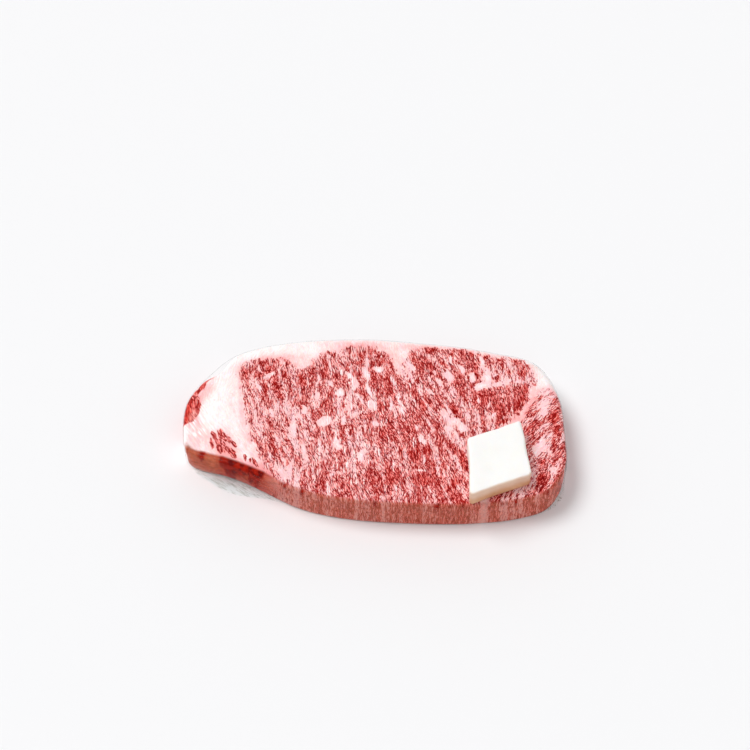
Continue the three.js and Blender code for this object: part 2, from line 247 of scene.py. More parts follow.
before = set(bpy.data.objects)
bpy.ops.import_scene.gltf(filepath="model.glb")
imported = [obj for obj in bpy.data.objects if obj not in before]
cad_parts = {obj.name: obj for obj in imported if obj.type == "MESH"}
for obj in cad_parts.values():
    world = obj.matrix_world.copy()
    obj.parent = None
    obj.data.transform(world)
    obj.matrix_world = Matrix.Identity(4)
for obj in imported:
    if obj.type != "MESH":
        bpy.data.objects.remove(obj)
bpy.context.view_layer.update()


# Fields over the steak

class Field:
    """Numbers on an even grid over the steak, with the sums that make natural patterns from noise."""

    def __init__(self, step, seed):
        self.step = step
        self.x = np.arange(-GRID_HALF_LENGTH, GRID_HALF_LENGTH + step / 2, step)
        self.y = np.arange(-GRID_HALF_WIDTH, GRID_HALF_WIDTH + step / 2, step)
        self.X, self.Y = np.meshgrid(self.x, self.y)
        self.random = np.random.default_rng(seed)

    def blur(self, values, across_x, across_y=None):
        """Softened by a bell curve of these widths."""
        across_y = across_x if across_y is None else across_y
        fx, fy = np.meshgrid(np.fft.fftfreq(len(self.x), self.step), np.fft.fftfreq(len(self.y), self.step))
        window = np.exp(-2 * math.pi ** 2 * ((fx * across_x) ** 2 + (fy * across_y) ** 2))
        return np.fft.ifft2(np.fft.fft2(values) * window).real

    def noise(self, across_x, across_y=None):
        """Smooth noise of mean 0 and spread 1."""
        return standard(self.blur(self.random.standard_normal(self.X.shape), across_x, across_y))

    def at(self, values, x, y):
        """Values between the grid's points."""
        across = np.clip((x - self.x[0]) / self.step, 0, len(self.x) - 1.001)
        up = np.clip((y - self.y[0]) / self.step, 0, len(self.y) - 1.001)
        i, j = across.astype(int), up.astype(int)
        s, t = across - i, up - j
        low = values[j, i] * (1 - s) + values[j, i + 1] * s
        high = values[j + 1, i] * (1 - s) + values[j + 1, i + 1] * s
        return low * (1 - t) + high * t

    def streaks(self, width, half_length, direction):
        """Noise drawn out along a direction that turns from place to place."""
        source = self.noise(width)
        total = source.copy()
        step = 0.3
        for sense in (1, -1):
            x, y = self.X.copy(), self.Y.copy()
            for count in range(1, int(round(2 * half_length / step)) + 1):
                angle = self.at(direction, x, y)
                x += sense * step * np.cos(angle)
                y += sense * step * np.sin(angle)
                weight = math.exp(-0.5 * (count * step / half_length) ** 2)
                total += weight * self.at(source, x, y)
        return standard(total)

    def inside(self, corners, softness):
        """1 inside a polygon and 0 outside it, soft at its edge."""
        mask = np.zeros(self.X.shape, bool)
        for (ax, ay), (bx, by) in zip(corners, corners[1:] + corners[:1]):
            crosses = (ay > self.Y) != (by > self.Y)
            rise = (by - ay) if by != ay else 1e-9
            mask ^= crosses & (self.X < ax + (bx - ax) * (self.Y - ay) / rise)
        return self.blur(mask.astype(float), softness)

    def spot(self, x, y, across, along, degrees):
        """A soft oval: 1 at its middle, 0.37 at its edge."""
        c, s = math.cos(math.radians(degrees)), math.sin(math.radians(degrees))
        u = (self.X - x) * c + (self.Y - y) * s
        v = -(self.X - x) * s + (self.Y - y) * c
        return np.exp(-((u / along) ** 2 + (v / across) ** 2))


def standard(values):
    return (values - values.mean()) / values.std()


def smoothstep(values, low, high):
    t = np.clip((values - low) / (high - low), 0, 1)
    return t * t * (3 - 2 * t)


def flow(field, wanted_x, wanted_y):
    """A smooth field that rises, as nearly as it can, along the wanted direction everywhere."""
    fx, fy = np.meshgrid(np.fft.fftfreq(len(field.x), field.step), np.fft.fftfreq(len(field.y), field.step))
    kx, ky = 2 * math.pi * fx, 2 * math.pi * fy
    mean_x, mean_y = wanted_x.mean(), wanted_y.mean()
    source = kx * np.fft.fft2(wanted_x - mean_x) + ky * np.fft.fft2(wanted_y - mean_y)
    square = kx ** 2 + ky ** 2
    square[0, 0] = 1
    return np.fft.ifft2(-1j * source / square).real + mean_x * field.X + mean_y * field.Y


def grain(field, anchors):
    """The direction of the grain, and how far each place lies across and along it."""
    X, Y = field.X, field.Y
    near = [
        (np.exp(-((X - x) ** 2 + (Y - y) ** 2) / (2 * GRAIN_REACH ** 2)) + 1e-9, degrees)
        for x, y, degrees in anchors]
    degrees = sum(weight * angle for weight, angle in near) / sum(weight for weight, angle in near)
    direction = np.radians(degrees) + field.noise(5.0) * math.radians(5)
    across = flow(field, np.sin(direction), -np.cos(direction)) + 0.3 * field.noise(1.8)
    along = flow(field, np.cos(direction), np.sin(direction)) + 0.4 * field.noise(1.8)
    return direction, across, along


def marbling():
    """The meat's fields over the grid: fat against lean, pure fat, blood, and places along the grain."""
    field = Field(GRID_STEP, seed=7)
    X, Y = field.X, field.Y
    # Whose grain holds at each place: 0 the main muscle's, 1 the end muscle's, 2 the wedge's
    end = field.inside(END_MUSCLE, 1.4)
    muscle = np.where(end > 0.1, 1, np.where((field.inside(EYE_EDGE, 1.4) < 0.1) & (X < -45), 2, 0))
    grains = [grain(field, anchors) for anchors in (EYE_GRAIN, END_GRAIN, WEDGE_GRAIN)]
    direction, across, along = (np.choose(muscle, parts) for parts in zip(*grains))

    coarse = field.streaks(1.5, 4.0, direction)
    medium = field.streaks(0.6, 3.2, direction)
    long = field.streaks(0.5, 5.0, direction)
    grains_of_fat = smoothstep(field.streaks(0.75, 3.4, direction), 0.35, 1.35)
    lean = sum(push * field.spot(x, y, reach, reach, 0) for x, y, reach, push in LEANNESS)
    wavy_x, wavy_y = field.noise(1.6) * 0.45, field.noise(1.6) * 0.55
    flecks, patches = (
        field.at(np.max([share * field.spot(*spot) for *spot, share in places], axis=0),
                 X + wavy_x + 0.3 * medium, Y + wavy_y)
        for places in (FLECKS, LEAN_PATCHES))
    calm = smoothstep(-X, 30, 50)
    amount = (0.34 - 0.12 * calm) * coarse + 0.25 * medium + (0.28 - 0.12 * calm + 0.2 * end) * long - lean
    amount = amount - 0.5 + 0.25 * calm + (1.3 - 0.5 * calm) * grains_of_fat
    amount = amount + 1.7 * smoothstep(flecks, 0.1, 0.6) - 1.2 * smoothstep(patches, 0.1, 0.8)
    islands = smoothstep(flecks, 0.2, 0.55)

    # Outside the muscles there is fat, with a ragged edge between the two and a few streaks of lean.
    ragged_x = X + field.noise(1.1) * 0.6 + 0.3 * medium
    ragged_y = Y + field.noise(1.1) * 0.7
    muscles = [field.at(field.inside(corners, soft), ragged_x, ragged_y) for corners, soft in (
        (EYE_EDGE, 1.6), (END_MUSCLE, 1.6), (TIP_MUSCLE, 0.5))]
    streaky = np.max([field.spot(*spot) for spot in WEDGE_STREAKS], axis=0)
    streaky = smoothstep(field.at(streaky, X + 0.5 * wavy_x, Y + 0.5 * wavy_y), 0.05, 0.45)
    amount = amount + (0.36 - 0.06 * calm) * field.streaks(0.95, 6.0, direction) - 0.06
    amount = amount * (1 - 0.7 * streaky) - 1.4 * streaky
    whole = np.clip(sum(muscles), 0, 1)
    tip = muscles[2]
    pink = 0.15 + 0.03 * field.noise(2.4) + 0.03 * field.noise(1.0)
    pink = pink + 0.55 * field.blur(whole, 2.6) * (1 - whole) + 0.3 * whole
    pink = pink - 0.2 * smoothstep(flecks, 0.6, 1.0)
    for *spot, share in PINK_FAT:
        pink = pink + share * field.spot(*spot)
    # At the very left edge the tip's lean is drawn darker and bloodier: painted shade over the tip's own
    # blood.
    far_left_shade = smoothstep(-X, 95, 99)
    blood = (0.5 + 0.4 * far_left_shade) * smoothstep(tip, 0.3, 0.8)
    blood = blood + (0.35 + 0.25 * end) * smoothstep(patches, 0.15, 0.9)
    return {
        "field": field,
        "amount": amount - (1.2 + 1.6 * far_left_shade) * smoothstep(tip, 0.4, 0.8),
        "pure": np.clip(np.maximum(1 - whole - 0.8 * streaky, 0.85 * islands), 0, 1),
        "blood": blood,
        "pink": pink,
        "across": across,
        "along": along,
    }


# Forms

def ring_of(node, level):
    """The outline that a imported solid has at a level, anticlockwise, in millimetres."""
    points = np.array([vertex.co for vertex in bpy.data.objects[node].data.vertices]) / MM
    ring = np.unique(points[abs(points[:, 2] - level) < 0.01, :2].round(4), axis=0)
    middle = (ring.min(0) + ring.max(0)) / 2
    return ring[np.argsort(np.arctan2(*(ring - middle).T[::-1]))]


def smooth_loop(ring, step):
    """Points a step apart on the smooth closed curve through a ring of points."""
    before, after, beyond = (np.roll(ring, shift, axis=0) for shift in (1, -1, -2))
    t = np.linspace(0, 1, 12, endpoint=False)[:, None, None]
    curve = 0.5 * (2 * ring + (after - before) * t + (2 * before - 5 * ring + 4 * after - beyond) * t ** 2
                   + (3 * ring - before - 3 * after + beyond) * t ** 3)
    return even_steps(curve.transpose(1, 0, 2).reshape(-1, 2), step)


def even_steps(loop, step):
    closed = np.vstack([loop, loop[:1]])
    run = np.r_[0, np.cumsum(np.linalg.norm(np.diff(closed, axis=0), axis=1))]
    at = np.linspace(0, run[-1], int(round(run[-1] / step)), endpoint=False)
    return np.c_[np.interp(at, run, closed[:, 0]), np.interp(at, run, closed[:, 1])]


def outward(loop):
    """Unit normals that point out of a closed anticlockwise loop."""
    along = np.roll(loop, -1, axis=0) - np.roll(loop, 1, axis=0)
    normals = np.c_[along[:, 1], -along[:, 0]]
    return normals / np.linalg.norm(normals, axis=1)[:, None]


def hump(x, y, places):
    """The sum of rounded humps, each given by its middle, its reach and its height."""
    total = np.zeros(np.shape(x))
    for middle_x, middle_y, reach, height in places:
        total += height * (1 - smoothstep(np.hypot(x - middle_x, y - middle_y), 0, reach))
    return total


def face_heights(node, loop, margin):
    """The height of a solid's upper face over the whole grid, carried on past its rounded edge."""
    coarse = Field(1.0, seed=0)
    solid = bpy.data.objects[node]
    tree = BVHTree.FromPolygons(
        [vertex.co for vertex in solid.data.vertices], [face.vertices for face in solid.data.polygons])
    inner = [tuple(point) for point in loop - outward(loop) * margin]
    known = coarse.inside(inner, 0.01) > 0.5
    heights = np.zeros(coarse.X.shape)
    for row, column in zip(*np.nonzero(known)):
        above = Vector((coarse.X[row, column] * MM, coarse.Y[row, column] * MM, 1))
        heights[row, column] = tree.ray_cast(above, Vector((0, 0, -1)))[0].z / MM
    for softness in (1.2, 4.0, 12.0, 60.0):
        share = coarse.blur(known.astype(float), softness)
        spread = coarse.blur(heights * known, softness) / np.maximum(share, 1e-9)
        heights = np.where(known, heights, np.where(share > 0.02, spread, heights))
        known = known | (share > 0.02)
    return coarse, heights


class Slab:
    """A closed body of triangles: a face over a loop, a rounded shoulder, a wall and an underside.

    At each point, depth runs from 0 on the face to 1 at the foot, and turn from 0 to 1 over the shoulder.
    """

    def __init__(self, loop, shoulder, height_at, wall, step, underside_step):
        """wall lists the rings from the shoulder's foot to the lowest: outward shifts and heights."""
        normals = outward(loop)
        count = len(loop)
        rings = [
            loop - normals * (shoulder * (1 - math.cos(math.radians(turn))))[:, None]
            for turn in (14, 29, 45, 60)]
        inner = rings[-1] - normals * (0.5 * step)
        flat = np.vstack([loop] + rings + [self.fill(inner, step)])
        points, triangles = self.triangulate(flat, count)
        depth = self.depth_inside(points, loop)
        radius = shoulder[self.nearest(points, loop)]
        short = np.clip(radius - depth, 0, radius)
        self.turns = [short / radius]
        drop = radius - np.sqrt(np.maximum(radius ** 2 - short ** 2, 0))
        drop[:count] = shoulder
        z = height_at(points[:, 0], points[:, 1]) - drop
        self.parts = [np.c_[points, z]]
        self.depths = [np.zeros(len(points))]
        faces = [triangles]
        last = np.arange(count)
        total = len(points)
        for k, (shift, height) in enumerate(wall):
            place = loop + normals * np.broadcast_to(shift, count)[:, None]
            self.parts.append(np.c_[place, np.broadcast_to(height, count)])
            self.depths.append(np.full(count, (k + 1) / len(wall)))
            self.turns.append(np.ones(count))
            here = total + np.arange(count)
            ahead, here_ahead = np.roll(last, -1), np.roll(here, -1)
            faces += [np.c_[last, here, here_ahead], np.c_[last, here_ahead, ahead]]
            last = here
            total += count
        base = self.parts[-1][:, :2]
        below = base - outward(base) * (0.5 * underside_step)
        points, triangles = self.triangulate(np.vstack([base, self.fill(below, underside_step)]), count)
        low = np.broadcast_to(self.parts[-1][:, 2].min(), len(points) - count)
        self.parts.append(np.c_[points[count:], low])
        self.depths.append(np.ones(len(points) - count))
        self.turns.append(np.ones(len(points) - count))
        renumber = np.r_[last, total + np.arange(len(points) - count)]
        faces.append(renumber[triangles[:, ::-1]])
        self.points = np.vstack(self.parts)
        self.depth = np.concatenate(self.depths)
        self.turn = np.concatenate(self.turns)
        self.faces = np.vstack(faces)

    @staticmethod
    def fill(loop, step):
        """Points of an even triangular grid inside a loop."""
        low, high = loop.min(0), loop.max(0)
        rows = np.arange(low[1], high[1], step * math.sqrt(0.75))
        x, y = np.meshgrid(np.arange(low[0], high[0], step), rows)
        x = x + (np.arange(len(rows)) % 2)[:, None] * step / 2
        inside = np.zeros(x.shape, bool)
        outline = even_steps(loop, 2.0)
        for (ax, ay), (bx, by) in zip(outline, np.roll(outline, -1, axis=0)):
            crosses = (ay > y) != (by > y)
            inside ^= crosses & (x < ax + (bx - ax) * (y - ay) / (by - ay + 1e-12))
        return np.c_[x[inside], y[inside]]

    @staticmethod
    def triangulate(points, count):
        """Triangles over points whose first ones are the outline."""
        outline = [(i, (i + 1) % count) for i in range(count)]
        made = delaunay_2d_cdt([Vector(point) for point in points], outline, [], 1, 1e-6)
        return np.array([tuple(point) for point in made[0]]), np.array(made[2])

    @staticmethod
    def nearest(points, loop):
        tree = KDTree(len(loop))
        for i, (x, y) in enumerate(loop):
            tree.insert((x, y, 0), i)
        tree.balance()
        return np.array([tree.find((x, y, 0))[1] for x, y in points])

    def depth_inside(self, points, loop):
        """How far each point lies inside the loop."""
        index = self.nearest(points, loop)
        return np.maximum(-((points - loop[index]) * outward(loop)[index]).sum(1), 0)


def make_piece(name, points, faces, numbers, material, node):
    """A smooth mesh from points in millimetres, with a number for each point under each name."""
    mesh = bpy.data.meshes.new(name)
    mesh.vertices.add(len(points))
    mesh.vertices.foreach_set("co", (points * MM).astype(np.float32).ravel())
    mesh.loops.add(faces.size)
    mesh.loops.foreach_set("vertex_index", faces.astype(np.int32).ravel())
    mesh.polygons.add(len(faces))
    mesh.polygons.foreach_set("loop_start", np.arange(0, faces.size, 3, dtype=np.int32))
    mesh.update(calc_edges=True)
    mesh.validate()
    mesh.shade_smooth()
    for label, values in numbers.items():
        layer = mesh.attributes.new(label, "FLOAT", "POINT")
        layer.data.foreach_set("value", values.astype(np.float32))
    mesh.materials.append(material)
    piece = bpy.data.objects.new(name, mesh)
    bpy.context.scene.collection.objects.link(piece)
    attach(piece, "root")
    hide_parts(node)
    return piece


# Materials

def add_node(tree, kind, settings=None, **inputs):
    """A shader node with its settings and inputs. An input takes a number, a colour or a socket."""
    made = tree.nodes.new("ShaderNode" + kind)
    for name, value in (settings or {}).items():
        setattr(made, name, value)
    for name, value in inputs.items():
        key = int(name[1:]) if name[1:].isdigit() and name[0] == "i" else name.replace("_", " ")
        if isinstance(value, bpy.types.NodeSocket):
            tree.links.new(value, made.inputs[key])
        else:
            made.inputs[key].default_value = value
    return made


def calculate(tree, operation, a, b=0.0, clamp=False):
    return add_node(tree, "Math", {"operation": operation, "use_clamp": clamp}, i0=a, i1=b).outputs[0]


def blend_colours(tree, kind, share, a, b):
    made = add_node(tree, "Mix", {"data_type": "RGBA", "blend_type": kind}, i0=share, i6=a, i7=b)
    return made.outputs[2]


def between(tree, value, low, high, to_low=0.0, to_high=1.0):
    """A value between two limits, spread smoothly over two others."""
    made = add_node(tree, "MapRange", {"interpolation_type": "SMOOTHSTEP"}, Value=value)
    for name, number in (("From Min", low), ("From Max", high), ("To Min", to_low), ("To Max", to_high)):
        made.inputs[name].default_value = number
    return made.outputs[0]


def number_of(tree, name):
    return add_node(tree, "Attribute", {"attribute_name": name}).outputs["Fac"]


def ramp(tree, value, stops):
    made = add_node(tree, "ValToRGB", None, Fac=value)
    elements = made.color_ramp.elements
    while len(elements) < len(stops):
        elements.new(0.5)
    for element, (place, colour) in zip(elements, stops):
        element.position = place
        element.color = srgb(*colour)
    return made.outputs["Color"]


def srgb(red, green, blue):
    """A colour as it shows on screen, 0 to 255, as the linear one that shaders take."""
    linear = [
        c / 255 / 12.92 if c <= 10 else ((c / 255 + 0.055) / 1.055) ** 2.4
        for c in (red, green, blue)]
    return (*linear, 1.0)


def beef(green, richer):
    """From deep red through pink to white fat, the colours of beef lie near one line."""
    return min(123 + richer + 0.88 * green, 255), green, max(green - 0.25 * richer, 0)


def stretched(tree, across, along, up, width, length, height):
    """Coordinates in which one unit is the width across the grain, the length along it and the height."""
    parts = [calculate(tree, "DIVIDE", value, size) for value, size in (
        (across, width), (along, length), (up, height * MM))]
    return add_node(tree, "CombineXYZ", None, X=parts[0], Y=parts[1], Z=parts[2]).outputs[0]


def cells(tree, place):
    """A random number for each cell."""
    made = add_node(tree, "TexVoronoi", None, Vector=place, Scale=1.0, Randomness=1.0)
    return add_node(tree, "SeparateColor", None, Color=made.outputs["Color"]).outputs[0]


def soft_noise(tree, place, detail=2.0):
    made = add_node(tree, "TexNoise", None, Vector=place, Scale=1.0, Detail=detail, Roughness=0.6)
    return made.outputs[0]


def thin_lines(tree, place):
    """1 along wavering thin lines and 0 between them."""
    apart = calculate(tree, "ABSOLUTE", calculate(tree, "SUBTRACT", soft_noise(tree, place, 1.0), 0.5))
    return between(tree, apart, 0.0, 0.1, 1.0, 0.0)


def weighted(tree, base, parts):
    """A value plus several noises, each centred on 0 and given its own strength."""
    total = base
    for noise, strength in parts:
        centred = calculate(tree, "SUBTRACT", noise, 0.5)
        total = calculate(tree, "ADD", total, calculate(tree, "MULTIPLY", centred, strength))
    return total


def streaky_noise(tree, place, degrees, width, length, height, detail=2.0):
    """Noise drawn out along one direction of the face, and along the height."""
    turned = add_node(
        tree, "Mapping", {"vector_type": "TEXTURE"}, Vector=place,
        Rotation=(0, 0, math.radians(degrees)), Scale=(length * MM, width * MM, height * MM))
    return soft_noise(tree, turned.outputs[0], detail)


def new_material(name):
    material = bpy.data.materials.new(name)
    material.use_nodes = True
    tree = material.node_tree
    tree.nodes.clear()
    output = tree.nodes.new("ShaderNodeOutputMaterial")
    return material, tree, output.inputs["Surface"]


def meat_material():
    material, tree, surface = new_material("marbled beef")
    place = add_node(tree, "TexCoord").outputs["Object"]
    up = add_node(tree, "SeparateXYZ", None, Vector=place).outputs["Z"]
    grain = (number_of(tree, "across"), number_of(tree, "along"), up)
    bundles = cells(tree, stretched(tree, *grain, 0.7, 2.2, 7.0))
    fibres = cells(tree, stretched(tree, *grain, 0.42, 1.4, 5.0))
    streaks = soft_noise(tree, stretched(tree, *grain, 0.75, 3.6, 8.0), 3.0)
    striae = soft_noise(tree, stretched(tree, *grain, 0.4, 2.4, 9.0), 1.0)
    specks = soft_noise(tree, stretched(tree, *grain, 0.4, 0.8, 1.5), 3.0)
    red_lines = thin_lines(tree, stretched(tree, *grain, 1.0, 5.2, 9.0))
    fine_lines = thin_lines(tree, stretched(tree, *grain, 0.6, 3.0, 7.0))
    pale_lines = thin_lines(tree, stretched(tree, *grain, 1.3, 4.0, 6.0))

    # Tones run from 0, the darkest lean, to 1, the whitest fat.
    amount = weighted(tree, number_of(tree, "amount"), [
        (bundles, 0.7), (fibres, 0.8), (streaks, 1.8), (pale_lines, 0.9)])
    body = between(tree, amount, -2.0, 2.5, 0.13, 0.81)
    marbled = weighted(tree, body, [(striae, 0.6), (specks, 0.42), (red_lines, -0.4), (fine_lines, -0.38)])
    marbled = between(tree, marbled, 0.04, 0.84, 0.04, 0.84)
    pink = weighted(tree, number_of(tree, "pink"), [(streaks, 0.6), (specks, 0.4), (striae, 0.4)])
    clean = between(tree, pink, -0.1, 1.1, 1.0, 0.62)
    share = weighted(tree, number_of(tree, "pure"), [
        (bundles, 0.3), (fibres, 0.25), (streaks, 0.8), (striae, 0.8)])
    share = between(tree, share, 0.34, 0.66)
    mixed = add_node(tree, "Mix", {"data_type": "FLOAT"}, i0=share, i2=marbled, i3=clean)

    # Painted highlights of the stretched film: fine pale lines in the meat's tone, upright over the middle,
    # slanted at the thin end.
    upright = between(tree, streaky_noise(tree, place, 92, 0.5, 18.0, 6.0, 1.0), 0.6, 0.7)
    slanted_highlights = between(tree, streaky_noise(tree, place, 124, 0.5, 8.0, 6.0, 1.0), 0.5, 0.59)
    lines = calculate(tree, "MULTIPLY", upright, number_of(tree, "upright"))
    lines = calculate(tree, "ADD", lines, calculate(tree, "MULTIPLY", slanted_highlights, number_of(tree, "slanted_highlights")))
    tone = calculate(tree, "ADD", mixed.outputs[0], lines)

    # The gaps between fibres are duller than the lean itself.
    tones = (10, 40, 75, 110, 145, 180, 215, 250)
    dull, rich = (
        ramp(tree, tone, [(green / 255, beef(green, richer)) for green in tones])
        for richer in (-26, 16))
    hues = soft_noise(tree, stretched(tree, *grain, 0.7, 1.8, 3.0), 1.0)
    richness = weighted(tree, 0.5, [
        (hues, 2.2), (red_lines, -0.5), (fine_lines, -0.4), (number_of(tree, "amount"), -0.18)])
    colour = blend_colours(tree, "MIX", calculate(tree, "ADD", richness, 0.0, True), dull, rich)
    dark = blend_colours(tree, "MULTIPLY", 1.0, colour, srgb(*BLOOD_FILTER))
    colour = blend_colours(tree, "MIX", number_of(tree, "blood"), colour, dark)

    # The near side is browner from painted shade, with a thin skin on it and wet blood at the thin end.
    mottled = streaky_noise(tree, place, 150, 0.9, 3.0, 2.0, 3.0)
    side_shade = ramp(tree, mottled, SIDE_SHADE_FILTER)
    side_in_shade = blend_colours(tree, "MULTIPLY", 1.0, colour, side_shade)
    colour = blend_colours(tree, "MIX", number_of(tree, "tan"), colour, side_in_shade)
    skin = ramp(tree, mottled, SKIN_COLOURS)
    colour = blend_colours(tree, "MIX", number_of(tree, "skin"), colour, skin)
    wet = ramp(tree, streaky_noise(tree, place, 100, 2.2, 2.8, 3.0, 3.0), STAIN_COLOURS)
    colour = blend_colours(tree, "MIX", number_of(tree, "stain"), colour, wet)

    bump = add_node(tree, "Bump", None, Strength=0.2, Distance=0.1 * MM, Height=tone)
    shader = add_node(
        tree, "BsdfPrincipled", None, Base_Color=colour, Normal=bump.outputs[0],
        Roughness=between(tree, tone, 0.0, 1.0, 0.34, 0.46), Subsurface_Weight=0.05)
    shader.inputs["Subsurface Radius"].default_value = (1.0, 0.35, 0.25)
    shader.inputs["Subsurface Scale"].default_value = 0.6 * MM
    shader.inputs["Specular IOR Level"].default_value = 0.05
    tree.links.new(shader.outputs[0], surface)
    return material


def film_material():
    material, tree, surface = new_material("clear film")
    place = add_node(tree, "TexCoord").outputs["Object"]
    lines = streaky_noise(tree, place, 96, 0.5, 9.0, 4.0, 3.0)
    folds = streaky_noise(tree, place, 128, 1.1, 12.0, 5.0, 4.0)
    height = calculate(tree, "ADD", lines, calculate(tree, "MULTIPLY", folds, 1.4))
    bump = add_node(
        tree, "Bump", None, Strength=number_of(tree, "crinkle"), Distance=0.25 * MM, Height=height)
    gloss = add_node(tree, "BsdfGlossy", None, Roughness=0.1, Normal=bump.outputs[0])
    # Wrinkle lines in the gathered hem let less through: folded layers of film, with painted shade in the
    # folds.
    wrinkles = between(tree, streaky_noise(tree, place, 146, 0.6, 7.0, 2.0, 3.0), 0.54, 0.62)
    fold_shade = calculate(tree, "MULTIPLY", wrinkles, number_of(tree, "folded_with_shade"))
    tint = blend_colours(tree, "MIX", fold_shade, (1, 1, 1, 1), (0.9, 0.89, 0.87, 1))
    clear = add_node(tree, "BsdfTransparent", None, Color=tint)

    facing = add_node(tree, "LayerWeight", None, Blend=0.5, Normal=bump.outputs[0]).outputs["Facing"]
    mirror = calculate(tree, "MULTIPLY", calculate(tree, "POWER", facing, 7.0), 0.7)
    mirror = calculate(tree, "ADD", calculate(tree, "MULTIPLY", mirror, number_of(tree, "shine")), 0.002)
    both = add_node(tree, "MixShader", None, i0=mirror, i1=clear.outputs[0], i2=gloss.outputs[0])
    tree.links.new(both.outputs[0], surface)
    return material


def tallow_material():
    material, tree, surface = new_material("beef tallow")
    place = add_node(tree, "TexCoord").outputs["Object"]
    grain = add_node(tree, "TexNoise", None, Vector=place, Scale=900.0, Detail=4.0, Roughness=0.6)
    cloud = add_node(tree, "TexNoise", None, Vector=place, Scale=110.0, Detail=3.0, Roughness=0.5)
    # The sides take a darker, warmer colour, as painted shade.
    side = number_of(tree, "side")
    top = ramp(tree, cloud.outputs[0], TALLOW_TOP)
    shaded_flank = ramp(tree, cloud.outputs[0], TALLOW_SHADED_FLANK)
    colour = blend_colours(tree, "MIX", side, top, shaded_flank)
    height = calculate(tree, "ADD", grain.outputs[0], calculate(tree, "MULTIPLY", cloud.outputs[0], 2.0))
    bump = add_node(tree, "Bump", None, Strength=0.3, Distance=0.2 * MM, Height=height)
    shader = add_node(
        tree, "BsdfPrincipled", None, Base_Color=colour, Normal=bump.outputs[0],
        Roughness=0.46, Subsurface_Weight=0.25)
    shader.inputs["Subsurface Radius"].default_value = (1.0, 0.8, 0.6)
    shader.inputs["Subsurface Scale"].default_value = 2.0 * MM
    tree.links.new(shader.outputs[0], surface)
    return material


def floor_material():
    material, tree, surface = new_material("pale floor")
    shader = add_node(tree, "BsdfPrincipled", None, Base_Color=(0.905, 0.905, 0.915, 1), Roughness=0.7)
    tree.links.new(shader.outputs[0], surface)
    return material


# The three pieces

def shoulder_radius(loop):
    """Round at the fat edge, sharper along the near edge, where it was cut."""
    return CUT_SHOULDER + (SOFT_SHOULDER - CUT_SHOULDER) * smoothstep(outward(loop)[:, 1], -0.4, 0.7)


def leaning(loop, z):
    """How far the side has leaned in from the outline at a height."""
    return hump(loop[:, 0], loop[:, 1], [LEANING_SIDE]) * np.clip((LEAN_START - z) / LEAN_GROWTH, 0, 1)


